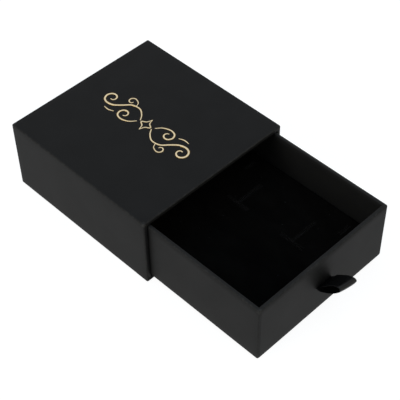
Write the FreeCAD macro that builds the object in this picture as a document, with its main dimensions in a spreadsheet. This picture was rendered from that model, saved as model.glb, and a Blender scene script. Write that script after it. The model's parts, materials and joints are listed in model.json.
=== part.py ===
"""Sliding drawer gift box: a paper-wrapped board sleeve, a drawer with a cut insert, a ribbon pull.

Millimetres, +Z up. The origin is the middle of the sleeve's underside, the sleeve's mouth faces -Y
and the drawer is pulled out along -Y. Every size is a cell of the sheet "Sizes".
"""
import FreeCAD, Part
import os

import Sketcher

SIZES = [
    ("sleeve_width", 90.4, "outside width of the sleeve, side to side"),
    ("sleeve_height", 40.4, "outside height of the sleeve"),
    ("sleeve_depth", 94.0, "outside depth of the sleeve, mouth to back"),
    ("sleeve_board", 2.0, "greyboard of the sleeve"),
    ("paper", 0.15, "every wrapping and lining sheet"),
    ("edge_radius", 0.7, "outer edges, over the wrap"),
    ("rim_radius", 0.3, "inner edge of the drawer's rim and of the sleeve's mouth"),
    ("mouth_turn_in", 15.0, "wrap turned into the sleeve's mouth"),
    ("wrap_turn_over", 12.0, "wrap turned onto the sleeve's back and underside"),
    ("sheet_margin", 1.5, "back and base sheets, in from the sleeve's edges"),
    ("stay_leg", 12.0, "each leg of a corner tape"),
    ("stay_thickness", 0.1, "corner tape, bedded flush in the board"),
    ("stay_end_gap", 3.0, "corner tape's end, back from the board's end"),
    ("side_clearance", 0.3, "drawer to sleeve, each side"),
    ("floor_clearance", 0.9, "drawer's underside to the sleeve's floor"),
    ("roof_clearance", 0.5, "drawer's rim to the sleeve's roof"),
    ("drawer_depth", 90.0, "outside depth of the drawer, front to back"),
    ("drawer_pull", 68.0, "how far the drawer stands out of the sleeve"),
    ("drawer_board", 1.5, "greyboard of the drawer"),
    ("slot_width", 10.6, "ribbon slot in the drawer's front, across"),
    ("slot_height", 0.9, "ribbon slot, up and down"),
    ("slot_rise", 16.2, "ribbon slot's middle above the drawer's underside"),
    ("ribbon_width", 10.0, "satin ribbon"),
    ("ribbon_thickness", 0.35, "one ply of the ribbon"),
    ("loop_reach", 15.0, "ribbon loop, slot to outermost fold"),
    ("loop_gap", 3.6, "inside height of the loop at its fold"),
    ("loop_start", 0.5, "loop's neck in front of the drawer"),
    ("loop_rise", 14.0, "loop's upward lean in degrees"),
    ("tail_length", 10.0, "ribbon ends down inside the drawer's front"),
    ("tail_glue", 0.1, "glue between the ribbon ends and the wall"),
    ("tail_bend", 0.25, "inner radius where the ribbon ends turn down"),
    ("tail_room", 0.2, "insert's notch around the ribbon ends"),
    ("insert_clearance", 0.25, "insert to the drawer's walls"),
    ("insert_height", 12.0, "foam and velvet together"),
    ("velvet", 0.6, "velvet sheet on the foam"),
    ("slit_cut", 0.6, "width of each cut slit"),
    ("slit_depth", 7.0, "depth of each cut slit"),
    ("tee_bar", 13.7, "bar of a T slit, along the drawer"),
    ("tee_stem", 16.6, "stem of a T slit, across the drawer"),
    ("tee_left", 9.6, "bar of a T slit, right of the middle"),
    ("tee_spacing", 34.7, "one T slit's stem to the other's"),
    ("chain_slit", 7.1, "short slit for a chain, across the drawer"),
    ("chain_left", 28.3, "short slit's near end, right of the middle"),
    ("chain_spacing", 60.6, "one short slit to the other"),
]

# Places that several pieces share, as expressions on the sheet.
BOARD_RADIUS = "(Sizes.edge_radius - Sizes.paper)"
SLEEVE_WALL = "(2 * Sizes.paper + Sizes.sleeve_board)"
SLEEVE_FLOOR = f"({SLEEVE_WALL} + Sizes.paper)"
MOUTH = "(0 - Sizes.sleeve_depth / 2)"
WRAP_BACK = "(Sizes.sleeve_depth / 2 - Sizes.paper)"
DRAWER_WIDTH = f"(Sizes.sleeve_width - 2 * {SLEEVE_WALL} - 2 * Sizes.side_clearance)"
DRAWER_HEIGHT = (f"(Sizes.sleeve_height - {SLEEVE_WALL} - {SLEEVE_FLOOR}"
                 " - Sizes.floor_clearance - Sizes.roof_clearance)")
DRAWER_WALL = "(2 * Sizes.paper + Sizes.drawer_board)"
DRAWER_FLOOR = "(2 * Sizes.paper + Sizes.drawer_board)"
HOLLOW_WIDTH = f"({DRAWER_WIDTH} - 2 * {DRAWER_WALL})"
HOLLOW_DEPTH = f"(Sizes.drawer_depth - 2 * {DRAWER_WALL})"
INSERT_TOP = f"({DRAWER_FLOOR} + Sizes.insert_height)"
TAILS = "(2 * Sizes.ribbon_thickness)"

# Where the drawer's own pieces are placed: their y counts from its front, z from its underside.
DRAWER_PLACE = {"y": f"{MOUTH} - Sizes.drawer_pull", "z": f"{SLEEVE_FLOOR} + Sizes.floor_clearance"}
SLEEVE_PLACE = {}

SKETCH_PLANES = {"level": "XY_Plane", "side": "YZ_Plane"}
SPARE = "5"   # how far a cutting tool stands out of what it cuts
SAME_PLACE = 1e-6   # two places this near each other are one

doc = FreeCAD.newDocument("DrawerGiftBox")
sheet = doc.addObject("Spreadsheet::Sheet", "Sizes")
for row, (alias, size, meaning) in enumerate(SIZES, start=1):
    sheet.set(f"A{row}", meaning)
    sheet.set(f"B{row}", str(size))
    sheet.setAlias(f"B{row}", alias)
doc.recompute()

parts = {}


def keep(name, piece):
    """Name a finished sub-part, which also names its file."""
    piece.Label = name
    parts[name] = piece
    return piece


def middle(width):
    """A span of this width about the middle plane."""
    return (f"0 - {width} / 2", width)


def new_body(name, place):
    body = doc.addObject("PartDesign::Body", name)
    for axis, expression in place.items():
        body.setExpression(f"Placement.Base.{axis}", expression)
    return body


def new_sketch(body, name, plane, height="0"):
    sketch = body.newObject("Sketcher::SketchObject", name)
    for feature in body.Origin.OriginFeatures:
        if feature.Role == SKETCH_PLANES[plane]:
            sketch.AttachmentSupport = [(feature, "")]
    sketch.MapMode = "FlatFace"
    sketch.setExpression("AttachmentOffset.Base.z", height)
    return sketch


def bind(sketch, name, constraint, expression):
    """Add a driving constraint whose value follows an expression."""
    index = sketch.addConstraint(constraint)
    sketch.renameConstraint(index, name)
    sketch.setExpression(f"Constraints.{name}", expression)


def rectangle(sketch, across, along):
    """Draw a constrained rectangle; each span is (low, size)."""
    low_x, width, low_y, length = [sketch.evalExpression(text) for text in across + along]
    low_x, width, low_y, length = [float(number) for number in (low_x, width, low_y, length)]
    corners = [FreeCAD.Vector(low_x, low_y, 0), FreeCAD.Vector(low_x + width, low_y, 0),
               FreeCAD.Vector(low_x + width, low_y + length, 0), FreeCAD.Vector(low_x, low_y + length, 0)]
    for side in range(4):
        sketch.addGeometry(Part.LineSegment(corners[side], corners[(side + 1) % 4]), False)
    for side in range(4):
        sketch.addConstraint(Sketcher.Constraint("Coincident", side, 2, (side + 1) % 4, 1))
        direction = "Horizontal" if side % 2 == 0 else "Vertical"
        sketch.addConstraint(Sketcher.Constraint(direction, side))
    bind(sketch, "low_across", Sketcher.Constraint("DistanceX", -1, 1, 0, 1, low_x), across[0])
    bind(sketch, "low_along", Sketcher.Constraint("DistanceY", -1, 1, 0, 1, low_y), along[0])
    bind(sketch, "size_across", Sketcher.Constraint("DistanceX", 0, 1, 0, 2, width), across[1])
    bind(sketch, "size_along", Sketcher.Constraint("DistanceY", 1, 1, 1, 2, length), along[1])


def pad_plate(body, name, across, along, up):
    """Pad a rectangle of the level plane between two heights."""
    sketch = new_sketch(body, f"{name}_outline", "level", up[0])
    rectangle(sketch, across, along)
    pad = body.newObject("PartDesign::Pad", f"{name}_pad")
    pad.Profile = sketch
    pad.setExpression("Length", up[1])
    doc.recompute()
    return pad


def plate(name, across, along, up, place=SLEEVE_PLACE):
    body = new_body(name, place)
    pad_plate(body, name, across, along, up)
    return body


def edges_between(shape, face_pairs):
    """Names of a block's edges that lie on both faces of any of the pairs."""
    box = shape.BoundBox
    faces = {"left": ("x", box.XMin), "right": ("x", box.XMax), "front": ("y", box.YMin),
             "back": ("y", box.YMax), "bottom": ("z", box.ZMin), "top": ("z", box.ZMax)}

    def lies_on(edge, face):
        axis, level = faces[face]
        return all(abs(getattr(vertex.Point, axis) - level) < SAME_PLACE for vertex in edge.Vertexes)

    return [f"Edge{number}" for number, edge in enumerate(shape.Edges, start=1)
            if any(lies_on(edge, one) and lies_on(edge, other) for one, other in face_pairs)]


def round_edges(body, name, edge_names, radius):
    unrounded = body.Tip
    fillet = body.newObject("PartDesign::Fillet", f"{name}_rounding")
    fillet.Base = (unrounded, edge_names)
    fillet.setExpression("Radius", radius)
    body.Tip = fillet
    doc.recompute()
    return fillet


def round_between(body, name, face_pairs, radius=BOARD_RADIUS):
    return round_edges(body, name, edges_between(body.Tip.Shape, face_pairs), radius)


def cutter(name, across, along, up, place=SLEEVE_PLACE):
    """A plain block for cutting, its corner and sizes bound to the sheet."""
    block = doc.addObject("Part::Box", name)
    for axis, prop, span in (("x", "Length", across), ("y", "Width", along), ("z", "Height", up)):
        block.setExpression(f"Placement.Base.{axis}", f"{span[0]} + ({place.get(axis, '0')})")
        block.setExpression(prop, span[1])
    return block


def cut(name, base, tools):
    """A piece with the tools' material taken away."""
    result = doc.addObject("Part::Cut", name)
    result.Base = base
    if len(tools) == 1:
        result.Tool = tools[0]
    else:
        fusion = doc.addObject("Part::MultiFuse", f"{name}_tools")
        fusion.Shapes = tools
        result.Tool = fusion
    result.Refine = False
    return result


def all_round():
    """Every pair of neighbouring faces of a block."""
    pairs = [(flat, upright) for flat in ("top", "bottom") for upright in ("left", "right", "front", "back")]
    return pairs + upright_corners()


def upright_corners():
    return [(side, end) for side in ("left", "right") for end in ("front", "back")]


def corner_tape(name, side, other, across, along, up, place):
    """An L of tape round one board corner: a rounded block less the same block set in."""
    outer = plate(f"{name}_outside", across, along, up, place)
    round_between(outer, f"{name}_outside", [(side, other)])
    inset = {"left": (0, 1), "right": (0, 0), "front": (1, 1), "back": (1, 0),
             "bottom": (2, 1), "top": (2, 0)}
    spans = [list(across), list(along), list(up)]
    for face in (side, other):
        axis, moves_low = inset[face]
        low, size = spans[axis]
        spans[axis] = [f"{low} + Sizes.stay_thickness" if moves_low else f"{low} - {SPARE}",
                       f"{size} - Sizes.stay_thickness + {SPARE}"]
    run = ({0, 1, 2} - {inset[side][0], inset[other][0]}).pop()
    low, size = spans[run]
    spans[run] = [f"{low} - {SPARE}", f"{size} + 2 * {SPARE}"]
    inner = plate(f"{name}_inside", *[tuple(span) for span in spans], place)
    round_between(inner, f"{name}_inside", [(side, other)], f"{BOARD_RADIUS} - Sizes.stay_thickness")
    return keep(name, cut(f"{name}_tape", outer, [inner]))


# ---------------------------------------------------------------- the sleeve's boards and tapes
CORE_X = middle("(Sizes.sleeve_width - 2 * Sizes.paper)")
CORE_Y = (f"{MOUTH} + Sizes.paper", "(Sizes.sleeve_depth - 3 * Sizes.paper)")
CORE_Z = ("2 * Sizes.paper", "(Sizes.sleeve_height - 3 * Sizes.paper)")
CORE_LEFT = CORE_X[0]
CORE_RIGHT = "(Sizes.sleeve_width / 2 - Sizes.paper)"
CORE_TOP = "(Sizes.sleeve_height - Sizes.paper)"
BETWEEN_Z = (f"{CORE_Z[0]} + Sizes.sleeve_board", f"{CORE_Z[1]} - 2 * Sizes.sleeve_board")
SLEEVE_INNER_WIDTH = "(Sizes.sleeve_width - 2 * Sizes.paper - 2 * Sizes.sleeve_board)"
BACK_BOARD_FACE = f"({WRAP_BACK} - Sizes.paper - Sizes.sleeve_board)"

sleeve_spans = {
    "sleeve_top_board": (CORE_X, CORE_Y, (f"{CORE_TOP} - Sizes.sleeve_board", "Sizes.sleeve_board")),
    "sleeve_bottom_board": (CORE_X, CORE_Y, (CORE_Z[0], "Sizes.sleeve_board")),
    "sleeve_left_board": ((CORE_LEFT, "Sizes.sleeve_board"), CORE_Y, BETWEEN_Z),
    "sleeve_right_board": ((f"{CORE_RIGHT} - Sizes.sleeve_board", "Sizes.sleeve_board"), CORE_Y, BETWEEN_Z),
    "sleeve_back_board": (middle(SLEEVE_INNER_WIDTH), (BACK_BOARD_FACE, "Sizes.sleeve_board"), BETWEEN_Z),
}
sleeve_rounding = {
    "sleeve_top_board": [("top", end) for end in ("left", "right", "front", "back")] + upright_corners(),
    "sleeve_bottom_board": [("bottom", end) for end in ("left", "right", "front", "back")]
                           + upright_corners(),
    "sleeve_left_board": [("left", "front"), ("left", "back")],
    "sleeve_right_board": [("right", "front"), ("right", "back")],
}
sleeve_tapes = {}
for level in ("top", "bottom"):
    for side in ("left", "right"):
        name = f"sleeve_stay_{level}_{side}"
        across = (CORE_LEFT if side == "left" else f"{CORE_RIGHT} - Sizes.stay_leg", "Sizes.stay_leg")
        up = (CORE_Z[0] if level == "bottom" else f"{CORE_TOP} - Sizes.stay_leg", "Sizes.stay_leg")
        along = (f"{CORE_Y[0]} + Sizes.stay_end_gap", f"{CORE_Y[1]} - 2 * Sizes.stay_end_gap")
        sleeve_tapes[level, side] = corner_tape(name, side, level, across, along, up, SLEEVE_PLACE)

sleeve_boards = []
for name, spans in sleeve_spans.items():
    blank = plate(f"{name}_blank", *spans)
    touching = [tape for sides, tape in sleeve_tapes.items() if any(f"_{word}_" in name for word in sides)]
    if name in sleeve_rounding:
        round_between(blank, f"{name}_blank", sleeve_rounding[name])
    sleeve_boards.append(keep(name, cut(f"{name}_bedded", blank, touching) if touching else blank))

# ---------------------------------------------------------------- the sleeve's papers
sleeve_block = plate("sleeve_block", middle("Sizes.sleeve_width"),
                     (MOUTH, "Sizes.sleeve_depth - Sizes.paper"),
                     ("Sizes.paper", "Sizes.sleeve_height - Sizes.paper"))
round_between(sleeve_block, "sleeve_block", all_round(), "Sizes.edge_radius")

OPENING_X = middle(f"(Sizes.sleeve_width - 2 * {SLEEVE_WALL})")
OPENING_Z = (SLEEVE_FLOOR, f"(Sizes.sleeve_height - {SLEEVE_WALL} - {SLEEVE_FLOOR})")
mouth_hollow = new_body("mouth_hollow", SLEEVE_PLACE)
pad_plate(mouth_hollow, "mouth_hollow", OPENING_X, (MOUTH, "Sizes.mouth_turn_in"), OPENING_Z)
pad_plate(mouth_hollow, "mouth_apron", middle(f"(Sizes.sleeve_width + 2 * {SPARE})"),
          (f"{MOUTH} - {SPARE}", SPARE), (f"0 - {SPARE}", f"Sizes.sleeve_height + 2 * {SPARE}"))


def inner_corner_edges(body, axis, level, inside):
    """Edges in the plane where a hollow's prism meets its wider slab."""
    names = []
    for number, edge in enumerate(body.Tip.Shape.Edges, start=1):
        points = [vertex.Point for vertex in edge.Vertexes]
        if all(abs(getattr(point, axis) - level) < SAME_PLACE and inside(point) for point in points):
            names.append(f"Edge{number}")
    return names


def number_of(expression):
    return float(sheet.evalExpression(expression.replace("Sizes.", "")))


half_width = number_of("Sizes.sleeve_width") / 2
mouth_edges = inner_corner_edges(mouth_hollow, "y", number_of(MOUTH), lambda point: abs(point.x) < half_width)
round_edges(mouth_hollow, "mouth_hollow", mouth_edges, "Sizes.rim_radius")

LINED_FROM = f"({MOUTH} + Sizes.mouth_turn_in)"
LINED_DEPTH = f"({BACK_BOARD_FACE} - {LINED_FROM})"
lined_hollow = cutter("lined_hollow", middle(SLEEVE_INNER_WIDTH), (LINED_FROM, LINED_DEPTH), BETWEEN_Z)
WINDOW_WIDTH = "(Sizes.sleeve_width - 2 * Sizes.wrap_turn_over)"
WINDOW_DEPTH = "(Sizes.sleeve_depth - 2 * Sizes.wrap_turn_over)"
WINDOW_HEIGHT = "(Sizes.sleeve_height - 2 * Sizes.wrap_turn_over)"
back_window = cutter("back_window", middle(WINDOW_WIDTH), (f"{WRAP_BACK} - Sizes.paper", "Sizes.paper"),
                     ("Sizes.wrap_turn_over", WINDOW_HEIGHT))
base_window = cutter("base_window", middle(WINDOW_WIDTH), middle(WINDOW_DEPTH),
                     ("Sizes.paper", "Sizes.paper"))
keep("sleeve_cover_paper", cut("sleeve_wrap", sleeve_block, sleeve_boards + list(sleeve_tapes.values())
                               + [mouth_hollow, lined_hollow, back_window, base_window]))

lining = plate("lining", middle(SLEEVE_INNER_WIDTH), (LINED_FROM, LINED_DEPTH), BETWEEN_Z)
lining_hollow = cutter("lining_hollow", OPENING_X,
                       (f"{LINED_FROM} - {SPARE}", f"{LINED_DEPTH} - Sizes.paper + {SPARE}"), OPENING_Z)
keep("sleeve_lining_paper", cut("sleeve_lining", lining, [lining_hollow]))

# The back and base sheets hide the turned-over wrap, set in a little from the sleeve's edges.
SHEET_X = middle("(Sizes.sleeve_width - 2 * Sizes.sheet_margin)")
keep("sleeve_back_paper", plate("back_sheet", SHEET_X, (WRAP_BACK, "Sizes.paper"),
                                ("Sizes.sheet_margin", "Sizes.sleeve_height - 2 * Sizes.sheet_margin")))
keep("sleeve_base_paper", plate("base_sheet", SHEET_X,
                                middle("(Sizes.sleeve_depth - 2 * Sizes.sheet_margin)"),
                                ("0", "Sizes.paper")))

# ---------------------------------------------------------------- the drawer's boards and tapes
TRAY_X = middle(f"({DRAWER_WIDTH} - 2 * Sizes.paper)")
TRAY_Y = ("Sizes.paper", "(Sizes.drawer_depth - 2 * Sizes.paper)")
TRAY_LEFT = TRAY_X[0]
TRAY_RIGHT = f"({DRAWER_WIDTH} / 2 - Sizes.paper)"
TRAY_BACK = "(Sizes.drawer_depth - Sizes.paper)"
WALL_Z = ("Sizes.paper + Sizes.drawer_board", f"({DRAWER_HEIGHT} - 2 * Sizes.paper - Sizes.drawer_board)")
SIDE_Y = ("Sizes.paper + Sizes.drawer_board",
          "(Sizes.drawer_depth - 2 * Sizes.paper - 2 * Sizes.drawer_board)")

drawer_spans = {
    "drawer_base_board": (TRAY_X, TRAY_Y, ("Sizes.paper", "Sizes.drawer_board")),
    "drawer_front_board": (TRAY_X, ("Sizes.paper", "Sizes.drawer_board"), WALL_Z),
    "drawer_back_board": (TRAY_X, (f"{TRAY_BACK} - Sizes.drawer_board", "Sizes.drawer_board"), WALL_Z),
    "drawer_left_board": ((TRAY_LEFT, "Sizes.drawer_board"), SIDE_Y, WALL_Z),
    "drawer_right_board": ((f"{TRAY_RIGHT} - Sizes.drawer_board", "Sizes.drawer_board"), SIDE_Y, WALL_Z),
}
drawer_rounding = {
    "drawer_base_board": [("bottom", end) for end in ("left", "right", "front", "back")] + upright_corners(),
    "drawer_left_board": [("left", "top")],
    "drawer_right_board": [("right", "top")],
}
for end in ("front", "back"):
    drawer_rounding[f"drawer_{end}_board"] = [(side, face) for side in ("left", "right")
                                              for face in ("top", end)] + [(end, "top")]

drawer_tapes = {}
for end in ("front", "back"):
    for side in ("left", "right"):
        name = f"drawer_stay_{end}_{side}"
        across = (TRAY_LEFT if side == "left" else f"{TRAY_RIGHT} - Sizes.stay_leg", "Sizes.stay_leg")
        along = (TRAY_Y[0] if end == "front" else f"{TRAY_BACK} - Sizes.stay_leg", "Sizes.stay_leg")
        up = (f"{WALL_Z[0]} + Sizes.stay_end_gap", f"{WALL_Z[1]} - 2 * Sizes.stay_end_gap")
        drawer_tapes[end, side] = corner_tape(name, side, end, across, along, up, DRAWER_PLACE)

ribbon_slot = cutter("ribbon_slot", middle("Sizes.slot_width"),
                     (f"0 - {SPARE}", f"{DRAWER_WALL} + 2 * {SPARE}"),
                     ("Sizes.slot_rise - Sizes.slot_height / 2", "Sizes.slot_height"), DRAWER_PLACE)
drawer_boards = []
for name, spans in drawer_spans.items():
    blank = plate(f"{name}_blank", *spans, DRAWER_PLACE)
    round_between(blank, f"{name}_blank", drawer_rounding[name])
    tools = [tape for sides, tape in drawer_tapes.items() if any(f"_{word}_" in name for word in sides)]
    if name == "drawer_front_board":
        tools.append(ribbon_slot)
    drawer_boards.append(keep(name, cut(f"{name}_bedded", blank, tools) if tools else blank))

# ---------------------------------------------------------------- the drawer's papers
drawer_block = plate("drawer_block", middle(DRAWER_WIDTH), ("0", "Sizes.drawer_depth"), ("0", DRAWER_HEIGHT),
                     DRAWER_PLACE)
round_between(drawer_block, "drawer_block", all_round(), "Sizes.edge_radius")

HOLLOW_X = middle(HOLLOW_WIDTH)
HOLLOW_Y = (DRAWER_WALL, HOLLOW_DEPTH)
BASE_TOP = "(Sizes.paper + Sizes.drawer_board)"
drawer_hollow = new_body("drawer_hollow", DRAWER_PLACE)
pad_plate(drawer_hollow, "drawer_hollow", HOLLOW_X, HOLLOW_Y, (BASE_TOP, f"{DRAWER_HEIGHT} - {BASE_TOP}"))
pad_plate(drawer_hollow, "rim_apron", middle(f"({DRAWER_WIDTH} + 2 * {SPARE})"),
          (f"0 - {SPARE}", f"Sizes.drawer_depth + 2 * {SPARE}"), (DRAWER_HEIGHT, SPARE))
half_drawer = number_of(DRAWER_WIDTH) / 2
rim_edges = inner_corner_edges(drawer_hollow, "z", number_of(DRAWER_HEIGHT),
                               lambda point: abs(point.x) < half_drawer)
round_edges(drawer_hollow, "drawer_hollow", rim_edges, "Sizes.rim_radius")
keep("drawer_cover_paper", cut("drawer_wrap", drawer_block, drawer_boards + list(drawer_tapes.values())
                               + [drawer_hollow, ribbon_slot]))
keep("drawer_floor_paper", plate("floor_sheet", HOLLOW_X, HOLLOW_Y, (BASE_TOP, "Sizes.paper"), DRAWER_PLACE))

# ---------------------------------------------------------------- the insert and its slits
INSERT_X = middle(f"({HOLLOW_WIDTH} - 2 * Sizes.insert_clearance)")
INSERT_Y = (f"{DRAWER_WALL} + Sizes.insert_clearance", f"({HOLLOW_DEPTH} - 2 * Sizes.insert_clearance)")
DRAWER_MIDDLE = "Sizes.drawer_depth / 2"
SLIT_Z = (f"{INSERT_TOP} - Sizes.slit_depth", f"Sizes.slit_depth + {SPARE}")

slits = []
for label, sign in (("front", "-"), ("back", "+")):
    stem_y = f"{DRAWER_MIDDLE} {sign} Sizes.tee_spacing / 2"
    chain_y = f"{DRAWER_MIDDLE} {sign} Sizes.chain_spacing / 2"
    slits.append(cutter(f"tee_bar_{label}", ("Sizes.tee_left - Sizes.slit_cut / 2", "Sizes.slit_cut"),
                        (f"{stem_y} - Sizes.tee_bar / 2", "Sizes.tee_bar"), SLIT_Z, DRAWER_PLACE))
    slits.append(cutter(f"tee_stem_{label}", ("Sizes.tee_left", "Sizes.tee_stem"),
                        (f"{stem_y} - Sizes.slit_cut / 2", "Sizes.slit_cut"), SLIT_Z, DRAWER_PLACE))
    slits.append(cutter(f"chain_slit_{label}", ("Sizes.chain_left", "Sizes.chain_slit"),
                        (f"{chain_y} - Sizes.slit_cut / 2", "Sizes.slit_cut"), SLIT_Z, DRAWER_PLACE))
NOTCH_DEPTH = f"(Sizes.tail_glue + {TAILS} + Sizes.tail_room)"
tail_notch = cutter("tail_notch", middle("(Sizes.ribbon_width + 2 * Sizes.tail_room)"),
                    (f"{DRAWER_WALL} - {SPARE}", f"{NOTCH_DEPTH} + {SPARE}"),
                    (f"{DRAWER_FLOOR} - {SPARE}", f"Sizes.insert_height + 2 * {SPARE}"), DRAWER_PLACE)

foam_block = plate("foam_block", INSERT_X, INSERT_Y, (DRAWER_FLOOR, "Sizes.insert_height - Sizes.velvet"),
                   DRAWER_PLACE)
velvet_sheet = plate("velvet_sheet", INSERT_X, INSERT_Y, (f"{INSERT_TOP} - Sizes.velvet", "Sizes.velvet"),
                     DRAWER_PLACE)
keep("insert_foam", cut("foam_cut", foam_block, slits + [tail_notch]))
keep("insert_velvet", cut("velvet_cut", velvet_sheet, slits + [tail_notch]))

# ---------------------------------------------------------------- the ribbon
TAIL_FACE = f"({DRAWER_WALL} + Sizes.tail_glue)"
TAIL_LOW = f"(Sizes.slot_rise - {TAILS} / 2)"
ribbon_x = middle("Sizes.ribbon_width")
tails = plate("tails", ribbon_x, ("0", f"{TAIL_FACE} + {TAILS}"), (TAIL_LOW, TAILS), DRAWER_PLACE)
pad_plate(tails, "tails_down", ribbon_x, (TAIL_FACE, TAILS),
          (f"{TAIL_LOW} - Sizes.tail_length", "Sizes.tail_length"))
round_between(tails, "tails_outer", [("back", "top")], f"Sizes.tail_bend + {TAILS}")
inner_bend = inner_corner_edges(tails, "y", number_of(TAIL_FACE),
                                lambda point: abs(point.z - number_of(TAIL_LOW)) < SAME_PLACE)
round_edges(tails, "tails_inner", inner_bend, "Sizes.tail_bend")
keep("ribbon_tails", tails)

PULL_PLACE = {"y": DRAWER_PLACE["y"], "z": f"{DRAWER_PLACE['z']} + Sizes.slot_rise"}
loop = new_body("loop", PULL_PLACE)
loop.Placement = FreeCAD.Placement(loop.Placement.Base, FreeCAD.Rotation(FreeCAD.Vector(-1, 0, 0), 1))
loop.setExpression("Placement.Rotation.Angle", "Sizes.loop_rise")
fold_outer = number_of("Sizes.loop_gap / 2 + Sizes.ribbon_thickness")
fold_inner = number_of("Sizes.loop_gap / 2")
fold_y = fold_outer - number_of("Sizes.loop_reach")
neck_y = 0 - number_of("Sizes.loop_start")
neck_half = number_of(TAILS) / 2
apex_y = 2 * neck_y   # a first place; the constraints settle where the inner faces meet

profile = new_sketch(loop, "loop_profile", "side")
UPPER, LOWER, NECK, FOLD, INNER_UPPER, INNER_LOWER, INNER_FOLD = range(7)
START, END, CENTRE = 1, 2, 3
ORIGIN, ACROSS_AXIS = -1, -1


def point(y, z):
    return FreeCAD.Vector(y, z, 0)


def half_turn(radius):
    """The fold: an arc about the loop's far centre, open towards the drawer."""
    return Part.Arc(point(fold_y, radius), point(fold_y - radius, 0), point(fold_y, -radius))


profile.addGeometry(Part.LineSegment(point(neck_y, neck_half), point(fold_y, fold_outer)), False)
profile.addGeometry(Part.LineSegment(point(fold_y, -fold_outer), point(neck_y, -neck_half)), False)
profile.addGeometry(Part.LineSegment(point(neck_y, -neck_half), point(neck_y, neck_half)), False)
profile.addGeometry(half_turn(fold_outer), False)
profile.addGeometry(Part.LineSegment(point(apex_y, 0), point(fold_y, fold_inner)), False)
profile.addGeometry(Part.LineSegment(point(fold_y, -fold_inner), point(apex_y, 0)), False)
profile.addGeometry(half_turn(fold_inner), False)
for upper, lower, fold in ((UPPER, LOWER, FOLD), (INNER_UPPER, INNER_LOWER, INNER_FOLD)):
    profile.addConstraint(Sketcher.Constraint("Tangent", upper, END, fold, START))
    profile.addConstraint(Sketcher.Constraint("Tangent", lower, START, fold, END))
profile.addConstraint(Sketcher.Constraint("Coincident", NECK, END, UPPER, START))
profile.addConstraint(Sketcher.Constraint("Coincident", NECK, START, LOWER, END))
profile.addConstraint(Sketcher.Constraint("Symmetric", NECK, START, NECK, END, ACROSS_AXIS))
profile.addConstraint(Sketcher.Constraint("PointOnObject", FOLD, CENTRE, ACROSS_AXIS))
profile.addConstraint(Sketcher.Constraint("Coincident", INNER_FOLD, CENTRE, FOLD, CENTRE))
profile.addConstraint(Sketcher.Constraint("Coincident", INNER_LOWER, END, INNER_UPPER, START))
profile.addConstraint(Sketcher.Constraint("PointOnObject", INNER_UPPER, START, ACROSS_AXIS))
profile.addConstraint(Sketcher.Constraint("Parallel", INNER_UPPER, UPPER))
bind(profile, "neck_out", Sketcher.Constraint("DistanceX", NECK, START, ORIGIN, START, -neck_y),
     "Sizes.loop_start")
bind(profile, "fold_out", Sketcher.Constraint("DistanceX", FOLD, CENTRE, ORIGIN, START, -fold_y),
     "Sizes.loop_reach - Sizes.loop_gap / 2 - Sizes.ribbon_thickness")
bind(profile, "neck_tall", Sketcher.Constraint("DistanceY", NECK, START, NECK, END, 2 * neck_half), TAILS)
bind(profile, "fold_radius", Sketcher.Constraint("Radius", FOLD, fold_outer),
     "Sizes.loop_gap / 2 + Sizes.ribbon_thickness")
bind(profile, "inner_radius", Sketcher.Constraint("Radius", INNER_FOLD, fold_inner), "Sizes.loop_gap / 2")
band = loop.newObject("PartDesign::Pad", "loop_band")
band.Profile = profile
band.SideType = "Symmetric"
band.setExpression("Length", "Sizes.ribbon_width")
keep("ribbon_loop", loop)

# ---------------------------------------------------------------- check and write
doc.recompute()
for item in doc.Objects:
    if "Invalid" in item.State or "Error" in item.State:
        raise RuntimeError(f"{item.Name} failed: {item.State}")
for name, piece in parts.items():
    if piece.Shape.isNull() or not piece.Shape.isValid() or piece.Shape.Volume <= 0:
        raise RuntimeError(f"{name} has no valid shape")
os.makedirs("parts", exist_ok=True)
for name, piece in parts.items():
    piece.Shape.exportStep(f"parts/{name}.step")
    print(name, len(piece.Shape.Solids), round(piece.Shape.Volume, 2))
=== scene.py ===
"""Sliding drawer gift box: wrap papers, velvet insert, satin pull and foil ornament.

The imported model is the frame. The paper wraps, the velvet face and the ribbon are modelled here over
their plain solids; boards, tapes, foam and lining sheets keep their solids and get a finish.
Metres, +Z up, the origin in the middle of the sleeve's underside, the sleeve's mouth towards -Y.
"""

import json
import math

import bmesh
import bpy
from bpy.props import FloatProperty, FloatVectorProperty, IntProperty, PointerProperty
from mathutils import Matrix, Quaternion, Vector, noise


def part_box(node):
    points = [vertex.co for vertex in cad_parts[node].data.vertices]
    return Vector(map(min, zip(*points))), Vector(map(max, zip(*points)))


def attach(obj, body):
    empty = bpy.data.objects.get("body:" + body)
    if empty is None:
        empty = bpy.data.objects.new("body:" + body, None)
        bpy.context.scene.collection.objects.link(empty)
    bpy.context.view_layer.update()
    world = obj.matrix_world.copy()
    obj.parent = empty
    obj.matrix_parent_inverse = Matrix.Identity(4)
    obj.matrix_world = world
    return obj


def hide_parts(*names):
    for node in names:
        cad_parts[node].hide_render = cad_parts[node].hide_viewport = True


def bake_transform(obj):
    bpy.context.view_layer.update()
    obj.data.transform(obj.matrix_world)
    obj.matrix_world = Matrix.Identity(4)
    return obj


bl_info = {
    "name": "Drawer gift box finishes",
    "version": (1, 0, 0),
    "blender": (4, 5, 0),
    "location": "View3D > Sidebar > Gift box",
    "description": "Papers, velvet, ribbon and foil for a small sliding drawer box",
    "category": "Object",
}

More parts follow.
